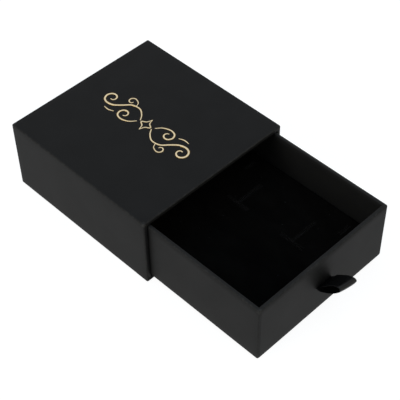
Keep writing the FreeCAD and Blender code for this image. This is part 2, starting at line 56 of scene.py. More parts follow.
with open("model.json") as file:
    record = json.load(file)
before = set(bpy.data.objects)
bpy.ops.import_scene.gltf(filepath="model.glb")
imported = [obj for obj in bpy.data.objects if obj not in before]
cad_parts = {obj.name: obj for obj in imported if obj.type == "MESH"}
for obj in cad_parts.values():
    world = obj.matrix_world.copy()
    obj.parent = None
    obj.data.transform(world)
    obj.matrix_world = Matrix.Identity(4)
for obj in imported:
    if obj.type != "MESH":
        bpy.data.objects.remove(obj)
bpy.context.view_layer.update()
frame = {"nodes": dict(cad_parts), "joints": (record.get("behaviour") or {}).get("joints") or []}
MM = 0.001
QUARTER = math.pi / 2


# ---------------------------------------------------------------- measures read from the frame
class Box:
    """A node's box at rest."""

    def __init__(self, node):
        self.node = node
        self.low, self.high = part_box(node)
        self.middle = (self.low + self.high) / 2
        self.half = (self.high - self.low) / 2


SLEEVE = Box("sleeve_cover_paper")
LINING = Box("sleeve_lining_paper")
BASE = Box("sleeve_base_paper")
BACK = Box("sleeve_back_paper")
DRAWER = Box("drawer_cover_paper")
FLOOR = Box("drawer_floor_paper")
VELVET = Box("insert_velvet")
TAILS = Box("ribbon_tails")
SLOT = Vector(next(joint["pos_m"] for joint in frame["joints"] if joint["name"] == "pull_flex"))
PAPER = BASE.high.z - BASE.low.z
SLEEVE_WALL = SLEEVE.high.x - (LINING.high.x - PAPER)
DRAWER_WALL = DRAWER.high.x - FLOOR.high.x
DRAWN_LENGTH = 60  # the ornament's length in the units of its drawing, millimetres at full size


# ---------------------------------------------------------------- settings that a user would change
def a_length(name, description, millimetres):
    return FloatProperty(name=name, description=description, default=millimetres * MM, unit="LENGTH")


def an_angle(name, description, degrees):
    return FloatProperty(name=name, description=description, default=math.radians(degrees), unit="ROTATION")


def a_colour(name, description, shares):
    return FloatVectorProperty(name=name, description=description, default=shares, subtype="COLOR",
                               size=3, min=0, max=1)


class PaperSettings(bpy.types.PropertyGroup):
    """The wrap papers."""

    ink: a_colour("Ink", "Colour of the wrap paper", (0.0053, 0.0053, 0.0053))
    # also the colour of the painted highlight along a tray's rim top
    rubbed: a_colour("Rubbed", "Paper where its edges are rubbed", (0.024, 0.0235, 0.0225))
    lining: a_colour("Lining", "Colour of the lining papers", (0.0042, 0.0042, 0.0043))
    edge_radius: a_length("Edge radius", "Outer edges, over the wrap", 0.85)
    rim_radius: a_length("Rim radius", "Inner edge of a rim or of the mouth", 0.3)
    turned_in: a_length("Turned in", "Wrap turned into the sleeve's mouth", 15)
    turned_over: a_length("Turned over", "Wrap turned onto the back or underside", 12)
    waviness: a_length("Waviness", "How far the glued paper wanders from flat", 0.035)
    lap_inset: a_length("Lap inset", "End panel's cut edge, in from the corner", 0.35)
    lap_step: a_length("Lap step", "End panel's height over the tabs beneath it", 0.07)
    pitch: a_length("Mesh pitch", "Largest spacing of the wraps' mesh", 3)


class InsertSettings(bpy.types.PropertyGroup):
    """The velvet face of the insert."""

    velvet: a_colour("Velvet", "Colour of the pile", (0.0032, 0.0028, 0.0023))
    fibre: a_colour("Cut fibre", "Colour of the fibres along the cuts", (0.0064, 0.0056, 0.0049))
    pitch: a_length("Mesh pitch", "Largest spacing of the velvet's mesh", 1.6)
    groove: a_length("Groove depth", "How deep each slit shows", 3)
    fibre_length: a_length("Fibre length", "Pile fibres along the cuts", 0.55)
    fibre_radius: a_length("Fibre radius", "Thickness of a pile fibre at its root", 0.03)
    fibre_spacing: a_length("Fibre spacing", "From one fibre to the next", 0.09)
    lip_rows: FloatVectorProperty(name="Lip rows", description="How far each row of fibres is from the cut",
                                  subtype="XYZ", size=3, default=(0.22 * MM, 0.5 * MM, 0.9 * MM))
    lint: IntProperty(name="Lint", description="Specks of lint on the velvet", default=26, min=0)


class RibbonSettings(bpy.types.PropertyGroup):
    """The satin pull."""

    satin: a_colour("Satin", "Colour of the ribbon", (0.0028, 0.0028, 0.0028))
    width: a_length("Width", "Ribbon across its selvedges", (TAILS.high.x - TAILS.low.x) / MM)
    thickness: a_length("Thickness", "One ply", 0.32)
    reach: a_length("Reach", "Slot to the outermost fold", 14.15)
    lean: an_angle("Lean", "Upward lean of the loop", 28.8)
    twist: an_angle("Twist", "Turn of the fold about its outward line", 4.8)
    skew: FloatProperty(name="Skew", description="How much shorter the loop is at its left edge",
                        default=0.10, min=0, max=0.5)
    drift: a_length("Drift", "How far the fold lies to the right of the slot", 2.0)


class FoilSettings(bpy.types.PropertyGroup):
    """The foil ornament on the sleeve."""

    gold: a_colour("Gold", "Colour of the foil", (0.715, 0.62, 0.44))
    length: a_length("Length", "Ornament along the box", DRAWN_LENGTH)
    line: a_length("Line", "Widest part of a stroke", 1.05)
    relief: a_length("Relief", "Foil's height over the paper", 0.05)


class StageSettings(bpy.types.PropertyGroup):
    """Camera and floor."""

    eye: FloatVectorProperty(name="Eye", description="Camera's place", subtype="TRANSLATION", size=3,
                             default=(-256.87 * MM, -302.19 * MM, 411.71 * MM))
    azimuth: an_angle("Azimuth", "Camera's turn round the box", -44.053)
    elevation: an_angle("Elevation", "Camera's height above the horizon", 47.069)
    roll: an_angle("Roll", "Camera's turn about its own line", -1.094)
    lens: FloatProperty(name="Lens", description="Focal length in millimetres for a 36 mm sensor",
                        default=100.99, min=1)
    floor_size: a_length("Floor", "Side of the floor", 6000)
    floor_gap: a_length("Floor gap", "Hair's breadth between the box and the floor", 0.03)


SETTINGS = {"papers": PaperSettings, "insert": InsertSettings, "ribbon": RibbonSettings,
            "foil": FoilSettings, "stage": StageSettings}


# ---------------------------------------------------------------- node trees
class Value:
    """An output socket that takes part in arithmetic: each operator adds a Math node."""

    def __init__(self, wiring, socket):
        self.wiring = wiring
        self.socket = socket

    def math(self, operation, first, second=0.0):
        return self.wiring.out("ShaderNodeMath", {"operation": operation}, {0: first, 1: second})

    def __add__(self, other):
        return self.math("ADD", self, other)

    def __radd__(self, other):
        return self.math("ADD", other, self)

    def __sub__(self, other):
        return self.math("SUBTRACT", self, other)

    def __rsub__(self, other):
        return self.math("SUBTRACT", other, self)

    def __mul__(self, other):
        return self.math("MULTIPLY", self, other)

    def __rmul__(self, other):
        return self.math("MULTIPLY", other, self)

    def sine(self):
        return self.math("SINE", self)

    def lower(self, other):
        return self.math("MINIMUM", self, other)

    def higher(self, other):
        return self.math("MAXIMUM", self, other)

    def between(self, start, end):
        """0 at start, 1 at end, eased between them; start may be the larger."""
        return self.wiring.out("ShaderNodeMapRange", {"interpolation_type": "SMOOTHSTEP"},
                               {"Value": self, "From Min": start, "From Max": end}, "Result")


class Wiring:
    """Adds nodes to one tree: a node's settings first, then a value or a link for its sockets."""

    def __init__(self, tree):
        self.tree = tree
        tree.nodes.clear()

    def node(self, kind, settings=None, inputs=None):
        made = self.tree.nodes.new(kind)
        for name, setting in (settings or {}).items():
            setattr(made, name, setting)
        for key, value in (inputs or {}).items():
            by_identifier = [socket for socket in made.inputs if socket.identifier == key]
            socket = by_identifier[0] if by_identifier else made.inputs[key]
            if isinstance(value, Value):
                self.tree.links.new(value.socket, socket)
            else:
                socket.default_value = value
        return made

    def out(self, kind, settings=None, inputs=None, output=0):
        return Value(self, self.node(kind, settings, inputs).outputs[output])

    def mixed(self, factor, first, second):
        """A colour between two, each a Value or three numbers."""
        first, second = [shade if isinstance(shade, Value) else (*shade, 1.0) for shade in (first, second)]
        return self.out("ShaderNodeMix", {"data_type": "RGBA"},
                        {"Factor_Float": factor, "A_Color": first, "B_Color": second}, 2)

    def vector(self, operation, first, second=(0.0, 0.0, 0.0)):
        return self.out("ShaderNodeVectorMath", {"operation": operation}, {0: first, 1: second})

    def split(self, vector):
        parts = self.node("ShaderNodeSeparateXYZ", inputs={"Vector": vector})
        return [Value(self, socket) for socket in parts.outputs]


class Finish(Wiring):
    """A material's tree, with its Principled shader and the textures that the finishes share."""

    def __init__(self, name):
        self.material = bpy.data.materials.new(name)
        self.material.use_nodes = True
        super().__init__(self.material.node_tree)
        self.place = self.out("ShaderNodeTexCoord", output="Object")

    def grain(self, size, detail=3.0, roughness=0.55, stretch=(1.0, 1.0, 1.0), place=None):
        """Noise whose features are about this size, in metres."""
        place = self.vector("MULTIPLY", place or self.place, tuple(axis / size for axis in stretch))
        return self.out("ShaderNodeTexNoise", {"noise_dimensions": "3D"},
                        {"Vector": place, "Scale": 1.0, "Detail": detail, "Roughness": roughness})

    def surface(self, constants, shade, roughness, relief=None, metallic=0.0):
        """Close the tree: constants sit on sockets, relief is a height with its depth and strength."""
        inputs = {**constants, "Base Color": shade, "Roughness": roughness, "Metallic": metallic}
        if relief:
            bump = dict(zip(("Height", "Distance", "Strength"), relief))
            inputs["Normal"] = self.out("ShaderNodeBump", None, bump, "Normal")
        self.node("ShaderNodeOutputMaterial", None,
                  {"Surface": self.out("ShaderNodeBsdfPrincipled", None, inputs)})
        return self.material


# ---------------------------------------------------------------- finishes
def edge_distances(finish, box):
    """Distances inside a box to its nearest edge and to its nearest corner."""
    offset = finish.vector("ABSOLUTE", finish.vector("SUBTRACT", finish.place, box.middle))
    across, along, up = finish.split(finish.vector("SUBTRACT", box.half, offset))
    to_edge = across.lower(along).higher(across.higher(along).lower(up))
    to_corner = across.higher(along).higher(up)
    return to_edge, to_corner


def paper_finish(name, settings, box, ink=None, wear=1.0, rim=0.0):
    """Matt dyed paper on board: fibre grain, faint cloudiness, edges and corners rubbed lighter.

    rim, from 0 to 1, is for a tray: how much painted highlight lies along the top of its rim, how far its
    edge rolls off, and a little less rubbing on its outer edges.
    """
    finish = Finish(name)
    ink = Vector(ink or settings.ink)
    fibres = finish.grain(0.22 * MM, detail=4, roughness=0.65)
    tooth = finish.grain(0.6 * MM, detail=2)
    clouds = finish.grain(14 * MM, detail=2)
    spots = finish.grain(1.4 * MM, detail=3, roughness=0.7)
    to_edge, to_corner = edge_distances(finish, box)
    below_rim = box.high.z - finish.split(finish.place)[2]
    on_edge = to_edge.between(1.1 * MM, 0.2 * MM) * (0.18 - 0.08 * rim + 0.5 * spots.between(0.44, 0.66))
    on_corner = to_corner.between(2.2 * MM, 0.6 * MM) * (0.35 + 0.65 * spots.between(0.40, 0.56))
    # painted highlight: the top of a tray's rim is lightened with the rubbed colour
    painted_rim_highlight = 0.16 * rim * below_rim.between(0.5 * MM, 0.1 * MM)
    # real rubbing at edges and corners, plus the painted highlight on a tray's rim
    wear_and_rim_highlight = (on_edge + on_corner + painted_rim_highlight).lower(1.0) * wear
    mottled = finish.mixed(clouds.between(0.3, 0.7), 0.9 * ink, 1.1 * ink)
    flecked = finish.mixed(fibres.between(0.56, 0.80) * 0.45, mottled, 2.0 * ink)
    rolled_part = 3.0 * MM
    roll_height = 15.0 * rim
    roll = (1 - below_rim * (1 / rolled_part)).higher(0.0)
    height = 0.7 * fibres + 0.5 * tooth + 0.25 * spots * wear_and_rim_highlight - roll_height * roll * roll
    return finish.surface({"Specular IOR Level": 0.103 + 0.004 * rim},
                          finish.mixed(wear_and_rim_highlight, flecked, settings.rubbed),
                          0.58 + 0.08 * fibres - 0.04 * clouds, (height, 0.03 * MM, 0.55))


def greyboard_finish():
    """Recycled board: grey-brown pulp with pale and dark flecks, layered at its cut edges."""
    finish = Finish("greyboard")
    pulp = finish.grain(0.9 * MM, detail=5, roughness=0.7)
    flecks = finish.grain(0.45 * MM, detail=2, stretch=(1.0, 0.35, 1.0))
    layers = finish.grain(0.28 * MM, detail=1, stretch=(0.1, 0.1, 1.0))
    base = finish.mixed(pulp, (0.20, 0.185, 0.16), (0.36, 0.335, 0.29))
    speckled = finish.mixed(flecks.between(0.62, 0.72), base, (0.55, 0.52, 0.46))
    shade = finish.mixed(flecks.between(0.36, 0.28), speckled, (0.09, 0.08, 0.07))
    return finish.surface({"Specular IOR Level": 0.25}, shade, 0.85 + 0.1 * pulp,
                          (pulp + 0.5 * layers, 0.06 * MM, 1.0))


def tape_finish():
    """Gummed kraft corner tape: fine lengthwise fibres and a faint sheen."""
    finish = Finish("stay_tape")
    lines = finish.grain(0.35 * MM, detail=4, stretch=(1.0, 0.12, 1.0))
    clouds = finish.grain(5 * MM, detail=2)
    base = finish.mixed(lines, (0.36, 0.24, 0.13), (0.52, 0.37, 0.22))
    shade = finish.mixed(clouds.between(0.35, 0.7) * 0.4, base, (0.30, 0.20, 0.11))
    return finish.surface({"Specular IOR Level": 0.35}, shade, 0.55 + 0.15 * lines, (lines, 0.02 * MM, 1.0))


def foam_finish():
    """Black open-cell foam: round cells of mixed size, with painted shade in each cell's hollow, lighter on
    the cell walls.
    """
    finish = Finish("foam")
    cell = 0.7 * MM
    scattered = finish.vector("MULTIPLY", finish.place, (1 / cell, 1 / cell, 1 / cell))
    cells = finish.out("ShaderNodeTexVoronoi", {"feature": "SMOOTH_F1"},
                       {"Vector": scattered, "Scale": 1.0, "Smoothness": 0.3}, "Distance")
    dust = finish.grain(0.3 * MM, detail=2)
    walls = cells.between(0.35, 0.75)
    # painted shade: each cell's hollow is coloured darker than its walls
    shade = finish.mixed(walls, (0.004, 0.004, 0.0042), (0.022, 0.022, 0.023))
    return finish.surface({"Specular IOR Level": 0.2}, shade, 0.9 + 0.08 * dust,
                          (walls + 0.2 * dust, 0.25 * MM, 1.0))


def velvet_finish(settings):
    """Black velvet: short pile that lies in soft patches, with a little sheen at a low angle."""
    finish = Finish("velvet")
    pile = finish.grain(0.16 * MM, detail=3, roughness=0.7, stretch=(1.0, 0.6, 1.0))
    strokes = finish.grain(7 * MM, detail=3, stretch=(1.0, 0.5, 1.0))
    base = Vector(settings.velvet)
    shade = finish.mixed((0.6 * strokes + 0.4 * pile).between(0.35, 0.7), 0.75 * base, 1.4 * base)
    return finish.surface({"Specular IOR Level": 0.0, "Sheen Weight": 0.01, "Sheen Roughness": 0.45,
                           "Sheen Tint": (0.8, 0.82, 0.86, 1.0)},
                          shade, 0.92 + 0.06 * pile, (pile + 0.4 * strokes, 0.15 * MM, 1.0))


def fibre_finish(name, base):
    """Cut pile and lint: pale at some tips, dull."""
    finish = Finish(name)
    tone = finish.grain(0.8 * MM, detail=2)
    shade = finish.mixed(tone.between(0.3, 0.7), 0.5 * Vector(base), 1.6 * Vector(base))
    return finish.surface({"Specular IOR Level": 0.2, "Sheen Weight": 0.05}, shade, 0.8 + 0.1 * tone)


def satin_finish(settings):
    """Satin: long lengthwise floats over fine weft rows, dense selvedges, read along the ribbon."""
    finish = Finish("satin_ribbon")
    weft_spacing = 0.34 * MM
    start, end = 0.45 * settings.width, 0.47 * settings.width
    woven = finish.out("ShaderNodeUVMap", {"uv_map": "woven"}, output="UV")
    along, across, _ = finish.split(woven)
    floats = finish.grain(0.16 * MM, detail=2, stretch=(0.05, 1.0, 1.0), place=woven)
    rows = (along * (2 * math.pi / weft_spacing)).sine()
    selvedge = across.between(start, end).higher(across.between(-start, -end))
    base = Vector(settings.satin)
    shade = finish.mixed(floats.between(0.35, 0.7), 0.7 * base, 1.5 * base)
    height = 0.6 * floats + 0.16 * rows + 0.5 * selvedge * rows
    return finish.surface({"Specular IOR Level": 0.16, "Anisotropic": 0.3}, shade,
                          0.30 + 0.08 * floats + 0.35 * selvedge, (height, 0.03 * MM, 0.7))


def foil_finish(settings):
    """Hot-stamped foil: bright metal that follows the paper's tooth, deeper in tone towards the pressed
    edge of a line, with a few worn pinholes."""
    finish = Finish("foil")
    tooth = finish.grain(0.4 * MM, detail=3)
    clouds = finish.grain(6 * MM, detail=2)
    pinholes = finish.grain(0.35 * MM, detail=2, roughness=0.7).between(0.70, 0.76)
    edge = finish.out("ShaderNodeAttribute", {"attribute_name": "edge"}, output="Fac")
    gold = Vector(settings.gold)
    deep = (0.8 * gold.x, 0.56 * gold.y, 0.15 * gold.z)
    flat = finish.mixed(clouds.between(0.3, 0.7), 0.86 * gold, gold)
    metal = finish.mixed(edge.between(0.3, 1.0), flat, deep)
    return finish.surface({"Specular IOR Level": 0.5}, finish.mixed(pinholes, metal, (0.05, 0.045, 0.035)),
                          0.30 + 0.12 * tooth + 0.3 * pinholes, (tooth, 0.02 * MM, 0.6),
                          metallic=0.85 - 0.85 * pinholes)


# ---------------------------------------------------------------- mesh makers
def paint(piece, material):
    piece.data.materials.clear()
    piece.data.materials.append(material)


def new_object(name, mesh, material=None):
    """Link an object for a mesh, a lamp or a camera, at the origin; a mesh gets its one material."""
    made = bpy.data.objects.new(name, mesh)
    bpy.context.scene.collection.objects.link(made)
    if material:
        paint(made, material)
    return made


def point_mesh(name, points, edges=(), faces=()):
    mesh = bpy.data.meshes.new(name)
    mesh.from_pydata(points, edges, faces)
    return mesh


def rectangle(name, low, high, height):
    """A mesh of one level face."""
    corners = ((low.x, low.y), (high.x, low.y), (high.x, high.y), (low.x, high.y))
    return point_mesh(name, [(*corner, height) for corner in corners], faces=[(0, 1, 2, 3)])


def finish_mesh(shape, name, sharp_angle=math.radians(32)):
    """A plain mesh from a bmesh, smooth apart from its sharp edges."""
    mesh = bpy.data.meshes.new(name)
    shape.to_mesh(mesh)
    shape.free()
    mesh.shade_smooth()
    mesh.set_sharp_from_angle(angle=sharp_angle)
    return mesh


def skin(shape, rows, closed=True):
    """Faces between rows of vertices; a closed row is joined round to its own start."""
    for row, following in zip(rows, rows[1:]):
        for index in range(len(row) if closed else len(row) - 1):
            beside = (index + 1) % len(row)
            shape.faces.new((row[index], row[beside], following[beside], following[index]))


def closed_skin(shape, rows):
    """Faces between closed rows and one over each end, all turned outwards."""
    skin(shape, rows)
    shape.faces.new(list(reversed(rows[0])))
    shape.faces.new(rows[-1])
    bmesh.ops.recalc_face_normals(shape, faces=shape.faces)


def steps_between(start, end, pitch):
    """Evenly spaced values from start to end, both included, no further apart than the pitch."""
    count = max(1, math.ceil(abs(end - start) / pitch))
    return [start + (end - start) * step / count for step in range(count + 1)]


def arc(centre, radius, start, end, steps, last_radius=None):
    """Points round a centre from one angle to another: a spiral, where the last radius is given."""
    growth = (last_radius or radius) - radius
    points = []
    for step in range(steps + 1):
        share = step / steps
        turn = start + (end - start) * share
        direction = Vector((math.cos(turn), math.sin(turn)))
        points.append(Vector(centre) + (radius + growth * share) * direction)
    return points


def directions(line):
    """A line's direction at each of its points."""
    beyond = [line[0], *line, line[-1]]
    return [(after - before).normalized() for before, after in zip(beyond, beyond[2:])]


def square_to(direction):
    return Vector((-direction.y, direction.x))


def rounded_loop(half_across, half_up, radius, counts, bend_steps, lap=None):
    """A rounded rectangle, anticlockwise from its lower right corner: (across, up, on an end panel).

    lap is how far from a corner's arc the upper and lower sides' own panel begins.
    """
    bends = []
    for index, (right, above) in enumerate(((1, -1), (1, 1), (-1, 1), (-1, -1))):
        centre = (right * (half_across - radius), above * (half_up - radius))
        bends.append(arc(centre, radius, QUARTER * (index - 1), QUARTER * index, bend_steps))
    loop = []
    for index, bend in enumerate(bends):
        start, end = bend[-1], bends[(index + 1) % 4][0]
        steps = counts[(index + 1) % 2]
        shares = [step / steps for step in range(1, steps)]
        panel_start = math.inf
        if lap and index % 2:
            cut_edge = lap / (end - start).length
            panel_start, step_end = 1.02 * cut_edge, 1.04 * cut_edge
            shares = [cut_edge, step_end, *shares, 1 - step_end, 1 - cut_edge]
        loop += [(*point, False) for point in bend]
        loop += [(*start.lerp(end, share), panel_start < share < 1 - panel_start) for share in shares]
    return loop


def wrap_profile(settings, wall, inside_depth, depth):
    """Where a wrap runs, as (inset from the outer face, depth from the rim): in, over the rim, round."""
    edge, rim, pitch = settings.edge_radius, settings.rim_radius, settings.pitch
    rim_bend = arc((wall - rim, rim), rim, 0, -QUARTER, 3)
    edge_bend = arc((edge, edge), edge, -QUARTER, -2 * QUARTER, 5)
    far_bend = arc((edge, depth - edge), edge, -2 * QUARTER, -3 * QUARTER, 5)
    inside = [(wall, level) for level in steps_between(inside_depth, rim, pitch)[:-1]]
    outside = [(0, level) for level in steps_between(edge, depth - edge, pitch)[1:-1]]
    turned_over = [(inset, depth) for inset in steps_between(edge, settings.turned_over, pitch)[1:]]
    return inside + rim_bend + edge_bend + outside + far_bend + turned_over


def wrapped_shell(name, settings, half_across, half_up, profile, to_frame, lap=None, closed_end=False):
    """A sheet laid round a box: one loop of the section for each point of the profile."""
    counts = (math.ceil(2 * half_across / settings.pitch), math.ceil(2 * half_up / settings.pitch))
    shape = bmesh.new()
    rows = []
    panel = set()
    for inset, depth in profile:
        radius = max(settings.edge_radius - inset, 0)
        loop = rounded_loop(half_across - inset, half_up - inset, radius, counts, 5, lap)
        rows.append([shape.verts.new(to_frame(across, up, depth)) for across, up, _ in loop])
        panel.update(vertex for vertex, (_, _, on_panel) in zip(rows[-1], loop) if on_panel)
    skin(shape, rows)
    if closed_end:
        shape.faces.new(rows[-1])
    shape.normal_update()
    for vertex in panel:
        vertex.co += settings.lap_step * vertex.normal
    for vertex in shape.verts:
        drift = noise.noise(vertex.co / (22 * MM)) + 0.4 * noise.noise(vertex.co / (6 * MM))
        vertex.co += settings.waviness * drift * vertex.normal
    bmesh.ops.remove_doubles(shape, verts=shape.verts, dist=0.002 * MM)
    shape.normal_update()
    return finish_mesh(shape, name)


def add_thickness(piece, thickness):
    """A wall of this thickness, on the inner side of the faces."""
    wall = piece.modifiers.new("thickness", "SOLIDIFY")
    wall.thickness = thickness
    wall.offset = -1


def curve_through(points, steps):
    """A smooth line through points (Catmull and Rom's), with this many steps from each to the next."""
    ends = [2 * points[0] - points[1], *points, 2 * points[-1] - points[-2]]
    line = []
    for before, start, end, after in zip(ends, ends[1:], ends[2:], ends[3:]):
        rise = end - before
        bend = 2 * before - 5 * start + 4 * end - after
        sway = 3 * start - before - 3 * end + after
        for step in range(steps):
            t = step / steps
            line.append(0.5 * (2 * start + rise * t + bend * t**2 + sway * t**3))
    line.append(points[-1].copy())
    return line


# ---------------------------------------------------------------- geometry node trees
def new_tree(name, source, sizes, result):
    """A tree's wiring and its named inputs: a geometry, then sizes, then the seed of its random draws."""
    tree = bpy.data.node_groups.new(name, "GeometryNodeTree")
    wiring = Wiring(tree)
    sockets = [(source, "INPUT", "Geometry"), *((size, "INPUT", "Float") for size in sizes),
               ("Seed", "INPUT", "Int"), (result, "OUTPUT", "Geometry")]
    for label, way, kind in sockets:
        tree.interface.new_socket(label, in_out=way, socket_type=f"NodeSocket{kind}")
    given = wiring.node("NodeGroupInput")
    return wiring, {socket.name: Value(wiring, socket) for socket in given.outputs if socket.name}


def scattered(wiring, given, points, shape, scales, material, result):
    """Close a tree: the shape on every point, tilted, turned and scaled at random, as one painted mesh."""
    turn = wiring.out("FunctionNodeRandomValue", {"data_type": "FLOAT_VECTOR"},
                      {"Min": (-1.0, -1.0, 0.0), "Max": (1.0, 1.0, 2 * math.pi), "Seed": given["Seed"]})
    limits = wiring.out("ShaderNodeCombineXYZ", None, {"X": given["Tilt"], "Y": given["Tilt"], "Z": 1.0})
    scale = wiring.out("FunctionNodeRandomValue", {"data_type": "FLOAT"},
                       {"Min_001": scales[0], "Max_001": scales[1], "Seed": given["Seed"] + 1}, 1)
    placed = wiring.out("GeometryNodeInstanceOnPoints", None,
                        {"Points": points, "Instance": shape, "Scale": scale,
                         "Rotation": wiring.vector("MULTIPLY", turn, limits)})
    real = wiring.out("GeometryNodeRealizeInstances", None, {"Geometry": placed})
    painted = wiring.out("GeometryNodeSetMaterial", None, {"Geometry": real, "Material": material})
    wiring.node("NodeGroupOutput", None, {result: painted})
    return wiring.tree


def fibre_tree(material):
    """Short tapered fibres along the edges of a mesh, tilted and turned at random."""
    wiring, given = new_tree("cut pile", "Lines", ("Spacing", "Length", "Radius", "Tilt"), "Fibres")
    line = wiring.out("GeometryNodeMeshToCurve", None, {"Mesh": given["Lines"]})
    points = wiring.out("GeometryNodeResampleCurve", {"mode": "LENGTH"},
                        {"Curve": line, "Length": given["Spacing"]})
    cone = wiring.out("GeometryNodeMeshCone", {"fill_type": "NONE"},
                      {"Vertices": 3, "Side Segments": 2, "Radius Top": 0.25 * given["Radius"],
                       "Radius Bottom": given["Radius"], "Depth": given["Length"]})
    return scattered(wiring, given, points, cone, (0.5, 1.2), material, "Fibres")


def lint_tree(material):
    """Bent specks of lint scattered over a surface, lying nearly flat on it."""
    wiring, given = new_tree("lint", "Surface", ("Density", "Length", "Radius", "Tilt"), "Specks")
    points = wiring.out("GeometryNodeDistributePointsOnFaces", {"distribute_method": "RANDOM"},
                        {"Mesh": given["Surface"], "Density": given["Density"], "Seed": given["Seed"]})
    bow = wiring.out("ShaderNodeCombineXYZ", None,
                     {"X": 0.0, "Y": 0.4 * given["Length"], "Z": given["Radius"]})
    end = wiring.out("ShaderNodeCombineXYZ", None, {"X": given["Length"], "Y": 0.0, "Z": 0.0})
    bent = wiring.out("GeometryNodeCurveQuadraticBezier", None,
                      {"Resolution": 5, "Start": (0.0, 0.0, 0.0), "Middle": bow, "End": end})
    ring = wiring.out("GeometryNodeCurvePrimitiveCircle", {"mode": "RADIUS"},
                      {"Resolution": 4, "Radius": given["Radius"]})
    speck = wiring.out("GeometryNodeCurveToMesh", None,
                       {"Curve": bent, "Profile Curve": ring, "Fill Caps": True})
    return scattered(wiring, given, points, speck, (0.35, 1.3), material, "Specks")


def grown(source, tree, values, name, material):
    """Run a geometry tree on an object, keep its result as a plain mesh and drop the source."""
    modifier = source.modifiers.new("growth", "NODES")
    modifier.node_group = tree
    for item in tree.interface.items_tree:
        if item.item_type == "SOCKET" and item.name in values:
            modifier[item.identifier] = values[item.name]
    evaluated = source.evaluated_get(bpy.context.evaluated_depsgraph_get())
    mesh = bpy.data.meshes.new_from_object(evaluated)
    mesh.name = name
    source.modifiers.remove(modifier)
    bpy.data.objects.remove(source)
    return new_object(name, mesh, material)


# ---------------------------------------------------------------- the wraps
def make_sleeve_wrap(settings):
    """The sleeve's one sheet: turned into the mouth, round the four walls and onto the back."""
    profile = wrap_profile(settings, SLEEVE_WALL, settings.turned_in, SLEEVE.high.y - SLEEVE.low.y)
    mesh = wrapped_shell("sleeve_wrap", settings, SLEEVE.half.x, SLEEVE.half.z, profile,
                         lambda across, up, depth: (SLEEVE.middle.x - across, SLEEVE.low.y + depth,
                                                    SLEEVE.middle.z + up))
    piece = new_object("sleeve_wrap", mesh, paper_finish("wrap_paper_sleeve", settings, SLEEVE))
    add_thickness(piece, PAPER)
    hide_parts("sleeve_cover_paper")
    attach(piece, "sleeve")


def make_drawer_wrap(settings):
    """The drawer's sheet: down inside from the rim, over it, down the walls and across the underside."""
    profile = wrap_profile(settings, DRAWER_WALL, DRAWER.high.z - FLOOR.low.z, DRAWER.high.z - DRAWER.low.z)
    mesh = wrapped_shell("drawer_wrap", settings, DRAWER.half.x, DRAWER.half.y, profile,
                         lambda across, along, depth: (DRAWER.middle.x + across, DRAWER.middle.y - along,
                                                       DRAWER.high.z - depth),
                         lap=settings.lap_inset, closed_end=True)
    # rim=1.0 paints the highlight along the rim's top and rolls the rim's edge off
    piece = new_object("drawer_wrap", mesh, paper_finish("wrap_paper_drawer", settings, DRAWER, rim=1.0))
    add_thickness(piece, PAPER)
    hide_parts("drawer_cover_paper")
    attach(piece, "drawer")


# ---------------------------------------------------------------- the insert
def slit_segments():
    """The die's cuts in the insert's face, as pairs of points across and along: T slits and short ones."""
    bar_across, stem_end = 9.6 * MM, 26.2 * MM
    short_start, short_end = 28.3 * MM, 35.4 * MM
    half_bar = 13.7 * MM / 2
    half_spacing, half_short_spacing = 34.7 * MM / 2, 60.6 * MM / 2
    segments = []
    for side in (-1, 1):
        stem = DRAWER.middle.y + side * half_spacing
        short = DRAWER.middle.y + side * half_short_spacing
        segments.append((Vector((bar_across, stem - half_bar)), Vector((bar_across, stem + half_bar))))
        segments.append((Vector((bar_across, stem)), Vector((stem_end, stem))))
        segments.append((Vector((short_start, short)), Vector((short_end, short))))
    return segments


def graded(low, high, pitch, features, offsets):
    """Grid lines from low to high, with close ones beside each feature."""
    close = [feature + side * offset for feature in features for offset in offsets for side in (-1, 1)]
    close = [value for value in close if low < value < high]
    kept = [value for value in steps_between(low, high, pitch)
            if all(abs(value - other) > 0.3 * pitch for other in close) or value in (low, high)]
    merged = []
    for value in sorted(kept + close):
        if not merged or value - merged[-1] > 0.01 * MM:
            merged.append(value)
    return merged


def velvet_grid(settings, segments):
    """The lines of the velvet's mesh across and along it, closer at the slits and at the borders."""
    offsets = [0.0, 0.09 * MM, 0.16 * MM, 0.24 * MM, 0.36 * MM, 0.6 * MM, 1.0 * MM]
    insets = [0.05 * MM, 0.15 * MM, 0.3 * MM, 0.6 * MM]
    grid = []
    for axis in (0, 1):
        low, high = VELVET.low[axis], VELVET.high[axis]
        features = [point[axis] for segment in segments for point in segment]
        borders = [place for inset in insets for place in (low + inset, high - inset)]
        grid.append(sorted(graded(low, high, settings.pitch, features, offsets) + borders))
    return grid


def distance_to(point, segment):
    start, end = segment
    run = end - start
    share = max(0.0, min(1.0, (point - start).dot(run) / run.length_squared))
    return (point - start - share * run).length


def eased(value, start, end):
    """0 at start and 1 at end, eased between them."""
    share = max(0.0, min(1.0, (value - start) / (end - start)))
    return share * share * (3 - 2 * share)


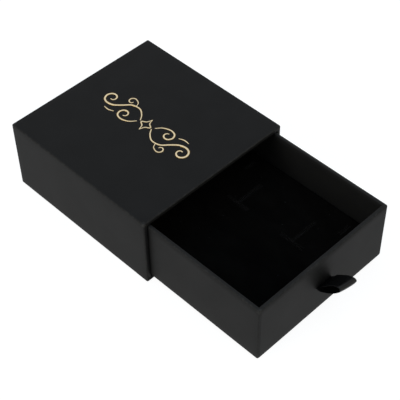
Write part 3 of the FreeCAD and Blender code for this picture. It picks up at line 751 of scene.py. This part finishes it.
def make_velvet(settings):
    """The velvet face: one sheet with rounded borders, sunk along the slits, lips a little proud."""
    segments = slit_segments()
    across_lines, along_lines = velvet_grid(settings, segments)
    thickness = VELVET.high.z - VELVET.low.z
    shoulder, lip_height, unevenness = 0.22 * MM, 0.07 * MM, 0.05 * MM
    notch_half = TAILS.high.x + 0.4 * MM
    notch_depth = TAILS.high.y + 0.15 * MM - VELVET.low.y
    shape = bmesh.new()
    rows = []
    for along in along_lines:
        row = []
        for across in across_lines:
            gap = min(distance_to(Vector((across, along)), segment) for segment in segments)
            to_border = min(across - VELVET.low.x, VELVET.high.x - across, along - VELVET.low.y,
                            VELVET.high.y - along)
            rounding = max(0.0, 1 - to_border / thickness)
            level = VELVET.high.z - thickness * (1 - math.sqrt(1 - rounding * rounding))
            level -= settings.groove * eased(gap, 0.17 * MM, 0.1 * MM)
            level -= shoulder * eased(gap, 0.4 * MM, 0.15 * MM)
            level += lip_height * eased(gap, 1.6 * MM, 0.5 * MM)
            level += unevenness * noise.noise(Vector((across, along, 0)) / (9 * MM))
            push = notch_depth * eased(along, VELVET.low.y + 4 * MM, VELVET.low.y)
            push *= eased(abs(across), notch_half + 0.4 * MM, notch_half)
            row.append(shape.verts.new((across, along + push, level)))
        rows.append(row)
    skin(shape, rows, closed=False)
    shape.normal_update()
    piece = new_object("velvet_face", finish_mesh(shape, "velvet_face", math.radians(60)),
                       velvet_finish(settings))
    add_thickness(piece, 0.2 * MM)
    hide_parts("insert_velvet")
    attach(piece, "drawer")


def make_cut_pile(settings):
    """Loose pile fibres that stand along both lips of every slit."""
    points = []
    for start, end in slit_segments():
        aside = square_to((end - start).normalized())
        for offset in settings.lip_rows:
            for side in (-1, 1):
                points += [(*(point + side * offset * aside), VELVET.high.z - 0.05 * MM)
                           for point in (start, end)]
    edges = [(index, index + 1) for index in range(0, len(points), 2)]
    material = fibre_finish("cut_pile", settings.fibre)
    piece = grown(new_object("lips", point_mesh("lips", points, edges)), fibre_tree(material),
                  {"Spacing": settings.fibre_spacing, "Length": settings.fibre_length,
                   "Radius": settings.fibre_radius, "Tilt": 0.9, "Seed": 4}, "cut_pile", material)
    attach(piece, "drawer")


def make_lint(settings):
    """A few specks of lint on the velvet."""
    inset = Vector((4 * MM, 4 * MM, 0))
    low, high = VELVET.low + inset, VELVET.high - inset
    patch = new_object("lint_patch", rectangle("lint_patch", low, high, VELVET.high.z + 0.1 * MM))
    area = (high.x - low.x) * (high.y - low.y)
    material = fibre_finish("lint", (0.05, 0.05, 0.052))
    piece = grown(patch, lint_tree(material),
                  {"Density": settings.lint / area, "Length": 0.5 * MM, "Radius": 0.045 * MM, "Tilt": 0.2,
                   "Seed": 11}, "lint", material)
    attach(piece, "drawer")


# ---------------------------------------------------------------- the ribbon
def ribbon_route(settings):
    """The ribbon's middle line as (outward, upward) from the slot, from one glued end to the other."""
    half = 0.5 * settings.thickness
    inner_wall = -(DRAWER_WALL + 0.1 * MM)
    near, far = inner_wall - half, inner_wall - 3 * half
    tail_end = TAILS.low.z - SLOT.z
    upper_tail = [(far, tail_end), (far, 0.5 * tail_end), (far, -1.2 * MM), (far + 0.35 * MM, -0.25 * MM),
                  (inner_wall + 0.5 * MM, half), (0.0, half)]
    loop = [(0.12, 0.08), (0.35, 0.09), (0.62, 0.1), (0.80, 0.094), (0.94, 0.065), (1.0, 0.0),
            (0.965, -0.07), (0.84, -0.135), (0.62, -0.18), (0.35, -0.145), (0.12, -0.055)]
    lower_tail = [(0.0, -half), (inner_wall + 0.6 * MM, -half), (inner_wall + 0.05 * MM, -0.35 * MM),
                  (near, -1.1 * MM), (near, 0.5 * tail_end), (near, tail_end)]
    loop = [(settings.reach * out, settings.reach * up) for out, up in loop]
    return curve_through([Vector(point) for point in upper_tail + loop + lower_tail], 7)


def make_ribbon(settings):
    """One length of satin: glued down inside, out through the slot, folded back and in again."""
    route = ribbon_route(settings)
    half_width, half_ply, reach = settings.width / 2, settings.thickness / 2, settings.reach
    selvedge, cupping = 0.12, 0.25 * MM
    shares = steps_between(-1, 1, 1 / 6)
    sides = [(share, 1) for share in shares] + [(share, -1) for share in reversed(shares)]
    shape = bmesh.new()
    woven = shape.loops.layers.uv.new("woven")
    rows = []
    travelled = 0.0
    lengths = {}
    for point, before, direction in zip(route, [route[0], *route], directions(route)):
        travelled += (point - before).length
        row = []
        for share, face in sides:
            ply = half_ply * max(0.15, math.sqrt(max(0.0, 1 - abs(share) ** 12)))
            ply *= 1 + selvedge * eased(abs(share), 0.84, 0.9)
            place = point + face * ply * square_to(direction)
            free = eased(place.x, 0.0, 0.75 * reach)
            lean = settings.lean * eased(place.x, 0.0, 0.3 * reach)
            outward = place.x * math.cos(lean) - place.y * math.sin(lean) * eased(place.x, 0, 0.2 * reach)
            outward *= 1 - settings.skew * free * (1 - share) / 2
            across = share * half_width
            upward = place.y + max(0.0, place.x) * math.sin(lean) - across * math.sin(settings.twist * free)
            sideways = across * math.cos(settings.twist * free) + settings.drift * free
            bow = cupping * free * (1 - share * share)
            vertex = shape.verts.new(SLOT + Vector((sideways, -outward - bow, upward)))
            lengths[vertex] = (travelled, across)
            row.append(vertex)
        rows.append(row)
    closed_skin(shape, rows)
    for face in shape.faces:
        for loop in face.loops:
            loop[woven].uv = lengths[loop.vert]
    piece = new_object("satin_pull", finish_mesh(shape, "satin_pull", math.radians(70)),
                       satin_finish(settings))
    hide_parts("ribbon_loop", "ribbon_tails")
    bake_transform(piece)


# ---------------------------------------------------------------- the foil ornament
def ornament_strokes():
    """A symmetrical flourish in the drawing's units: (points along and across, share of the full line)."""
    def spiral(centre, outer, inner, start, turn):
        return arc(centre, outer, math.radians(start), math.radians(start + turn), 8, inner)

    scroll = [(4.3, 0.4), (6.4, 3.2), (10.2, 5.6), (15.0, 4.9), (18.4, 1.6), (21.8, -1.4),
              *spiral((26.1, 1.8), 4.15, 1.1, -97, 365)]
    leaf = [(5.2, -1.4), (7.4, -3.9), (10.2, -5.3), *spiral((13.2, -2.1), 3.55, 1.2, -97, 345)]
    tendril = [(12.8, 5.6), (13.9, 7.9), *spiral((17.1, 6.9), 2.35, 1.0, 118, -285)]
    dash = [(18.4, -4.4), (21.2, -5.4), (24.2, -5.2)]
    petal = [(0.0, 4.4), (1.0, 1.7), (3.2, 0.0), (1.0, -1.7), (0.0, -4.4)]
    return [([Vector((side * along, side * across)) for along, across in line], share)
            for side in (1, -1)
            for line, share in ((scroll, 1.0), (leaf, 0.9), (tendril, 0.7), (dash, 0.65), (petal, 0.7))]


def stroke_bands(points, widest, thinnest=0.35):
    """A stroke as (point, direction, half width), tapered to a share of its width at its rounded ends."""
    line = curve_through(points, 9)
    bands = []
    for index, (point, along) in enumerate(zip(line, directions(line))):
        swelling = math.sin(math.pi * (0.04 + 0.92 * index / (len(line) - 1))) ** 0.7
        bands.append((point, along, widest / 2 * (thinnest + (1 - thinnest) * swelling)))
    caps = []
    for (point, along, half), side in ((bands[0], -1), (bands[-1], 1)):
        caps.append([(point + side * math.sin(turn) * half * along, along, math.cos(turn) * half)
                     for turn in (0.4, 0.8, 1.2)])
    return [*reversed(caps[0]), *bands, *caps[1]]


def make_foil(settings):
    """The ornament stamped on the sleeve's top, each stroke a thin tapering band."""
    section = ((-1.0, -1.0), (-0.9, 0.8), (0.0, 1.0), (0.9, 0.8), (1.0, -1.0))
    scale = settings.length / DRAWN_LENGTH
    shape = bmesh.new()
    edge = shape.verts.layers.float.new("edge")
    for points, share in ornament_strokes():
        rows = []
        for point, along, half in stroke_bands(points, settings.line * share / scale):
            row = []
            for offset, height in section:
                place = (point + offset * half * square_to(along)) * scale
                vertex = shape.verts.new((-place.y, SLEEVE.middle.y - place.x,
                                          SLEEVE.high.z + height * settings.relief))
                vertex[edge] = abs(offset)
                row.append(vertex)
            rows.append(row)
        closed_skin(shape, rows)
    piece = new_object("foil_ornament", finish_mesh(shape, "foil_ornament"), foil_finish(settings))
    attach(piece, "sleeve")


# ---------------------------------------------------------------- the stage
LAMPS = (  # name, place, aim, sides, watts, colour
    ("key_softbox", (0.75, -0.95, 0.50), (0, -0.06, 0.02), (1.3, 0.9), 2.6, (1.0, 0.92, 0.64)),
    ("left_softbox", (-1.1, 0.12, 0.42), (0, -0.04, 0.02), (0.5, 0.5), 6.1, (1.0, 0.98, 0.88)),
    ("top_softbox", (0.2, 0.2, 1.4), (0, -0.04, 0.02), (0.9, 0.9), 2.8, (0.36, 0.64, 1.0)),
    ("near_softbox", (-0.3, -0.7, 1.2), (0, -0.04, 0.02), (0.9, 0.9), 2.0, (0.72, 0.86, 1.0)))


def background_rays(wiring):
    """1 for the rays that show the background: the camera's, and those off metal or through glass."""
    rays = wiring.node("ShaderNodeLightPath")
    camera, glossy, through = [Value(wiring, rays.outputs[f"Is {kind} Ray"])
                               for kind in ("Camera", "Glossy", "Transmission")]
    return camera.higher(glossy).higher(through), camera


def stage_floor(settings):
    """A white floor that keeps the box's shadow, white where it is open and clear from beneath."""
    finish = Finish("floor")
    shown, camera = background_rays(finish)
    white = (1.0, 1.0, 1.0, 1.0)
    dusty = finish.mixed(finish.grain(0.2, detail=2), (0.80, 0.79, 0.76), (0.82, 0.81, 0.78))
    plain = finish.out("ShaderNodeBsdfDiffuse", None, {"Color": dusty})
    shaded = finish.out("ShaderNodeBsdfDiffuse", None, {"Color": (0.18, 0.18, 0.18, 1.0)})
    glow = finish.out("ShaderNodeEmission", None, {"Color": white, "Strength": 0.915})
    lifted = finish.out("ShaderNodeAddShader", None, {0: shaded, 1: glow})
    backdrop = finish.out("ShaderNodeMixShader", None, {0: shown, 1: plain, 2: lifted})
    clear = finish.out("ShaderNodeBsdfTransparent", None, {"Color": white})
    beneath = finish.out("ShaderNodeNewGeometry", output="Backfacing") * camera
    both = finish.out("ShaderNodeMixShader", None, {0: beneath, 1: backdrop, 2: clear})
    finish.node("ShaderNodeOutputMaterial", None, {"Surface": both})
    corner = Vector((settings.floor_size, settings.floor_size)) / 2
    new_object("floor", rectangle("floor", -corner, corner, -settings.floor_gap), finish.material)


def stage_world():
    """Soft light from all round, brighter near the horizon than overhead, and a white backdrop."""
    world = bpy.data.worlds.new("studio")
    world.use_nodes = True
    bpy.context.scene.world = world
    wiring = Wiring(world.node_tree)
    height = wiring.split(wiring.out("ShaderNodeTexCoord", output="Generated"))[2]
    sky = wiring.mixed(height.between(0.05, 0.75), (0.93, 0.87, 0.64), (0.28, 0.345, 0.47))
    shade = wiring.mixed(background_rays(wiring)[0], sky, (1.0, 1.0, 1.0))
    background = wiring.out("ShaderNodeBackground", None, {"Color": shade, "Strength": 1.0})
    wiring.node("ShaderNodeOutputWorld", None, {"Surface": background})


def stage_lamp(name, place, aim, sides, watts, shade):
    lamp = bpy.data.lights.new(name, "AREA")
    lamp.shape = "RECTANGLE"
    lamp.size, lamp.size_y = sides
    lamp.energy = watts
    lamp.color = shade
    holder = new_object(name, lamp)
    holder.location = place
    holder.rotation_euler = (Vector(aim) - Vector(place)).to_track_quat("-Z", "Y").to_euler()


def stage_camera(settings):
    turn, rise = settings.azimuth, settings.elevation
    back = Vector((math.sin(turn) * math.cos(rise), -math.cos(turn) * math.cos(rise), math.sin(rise)))
    lens = bpy.data.cameras.new("camera")
    lens.sensor_width = 36
    lens.lens = settings.lens
    camera = new_object("camera", lens)
    camera.location = settings.eye
    aim = (-back).to_track_quat("-Z", "Y") @ Quaternion((0, 0, 1), settings.roll)
    camera.rotation_euler = aim.to_euler()
    bpy.context.scene.camera = camera


# ---------------------------------------------------------------- operators
class GIFTBOX_OT_wraps(bpy.types.Operator):
    """Lay the wrap papers round the sleeve and the drawer, and finish the flat sheets"""

    bl_idname = "giftbox.wraps"
    bl_label = "Wrap papers"

    def execute(self, context):
        settings = context.scene.giftbox_papers
        make_sleeve_wrap(settings)
        make_drawer_wrap(settings)
        for box in (BACK, BASE):
            paint(frame["nodes"][box.node], paper_finish(box.node, settings, box, wear=0.4))
        for box in (LINING, FLOOR):
            paint(frame["nodes"][box.node],
                  paper_finish(box.node, settings, box, ink=settings.lining, wear=0.0))
        return {"FINISHED"}


class GIFTBOX_OT_boards(bpy.types.Operator):
    """Finish the greyboards and the kraft tapes at their corners"""

    bl_idname = "giftbox.boards"
    bl_label = "Boards and tapes"

    def execute(self, context):
        finishes = {"_board": greyboard_finish(), "_stay_": tape_finish()}
        for name, node in frame["nodes"].items():
            for part, material in finishes.items():
                if part in name:
                    paint(node, material)
        return {"FINISHED"}


class GIFTBOX_OT_insert(bpy.types.Operator):
    """Lay the velvet on the foam, with its slits, cut pile and lint"""

    bl_idname = "giftbox.insert"
    bl_label = "Insert"

    def execute(self, context):
        settings = context.scene.giftbox_insert
        foam = frame["nodes"]["insert_foam"]
        paint(foam, foam_finish())
        make_velvet(settings)
        make_cut_pile(settings)
        make_lint(settings)
        return {"FINISHED"}


class GIFTBOX_OT_ribbon(bpy.types.Operator):
    """Make the satin pull and its glued ends"""

    bl_idname = "giftbox.ribbon"
    bl_label = "Ribbon pull"

    def execute(self, context):
        make_ribbon(context.scene.giftbox_ribbon)
        return {"FINISHED"}


class GIFTBOX_OT_foil(bpy.types.Operator):
    """Stamp the foil ornament on the sleeve"""

    bl_idname = "giftbox.foil"
    bl_label = "Foil ornament"

    def execute(self, context):
        make_foil(context.scene.giftbox_foil)
        return {"FINISHED"}


class GIFTBOX_OT_stage(bpy.types.Operator):
    """Set the camera, the lamps, the world and the floor"""

    bl_idname = "giftbox.stage"
    bl_label = "Stage"

    def execute(self, context):
        settings = context.scene.giftbox_stage
        context.scene.view_settings.view_transform = "Standard"
        stage_camera(settings)
        stage_world()
        stage_floor(settings)
        for lamp in LAMPS:
            stage_lamp(*lamp)
        return {"FINISHED"}


class GIFTBOX_PT_panel(bpy.types.Panel):
    """The box's parts, in the order in which they are made"""

    bl_label = "Gift box"
    bl_idname = "GIFTBOX_PT_panel"
    bl_space_type = "VIEW_3D"
    bl_region_type = "UI"
    bl_category = "Gift box"

    def draw(self, context):
        for operator in OPERATORS:
            self.layout.operator(operator.bl_idname)


OPERATORS = (GIFTBOX_OT_stage, GIFTBOX_OT_boards, GIFTBOX_OT_wraps, GIFTBOX_OT_insert, GIFTBOX_OT_ribbon,
             GIFTBOX_OT_foil)
CLASSES = (*SETTINGS.values(), *OPERATORS, GIFTBOX_PT_panel)


def register():
    for item in CLASSES:
        bpy.utils.register_class(item)
    for name, group in SETTINGS.items():
        setattr(bpy.types.Scene, f"giftbox_{name}", PointerProperty(type=group))


def unregister():
    for name in SETTINGS:
        delattr(bpy.types.Scene, f"giftbox_{name}")
    for item in reversed(CLASSES):
        bpy.utils.unregister_class(item)


def main():
    register()
    bpy.ops.giftbox.stage()
    bpy.ops.giftbox.boards()
    bpy.ops.giftbox.wraps()
    bpy.ops.giftbox.insert()
    bpy.ops.giftbox.ribbon()
    bpy.ops.giftbox.foil()


if __name__ == "__main__":
    main()
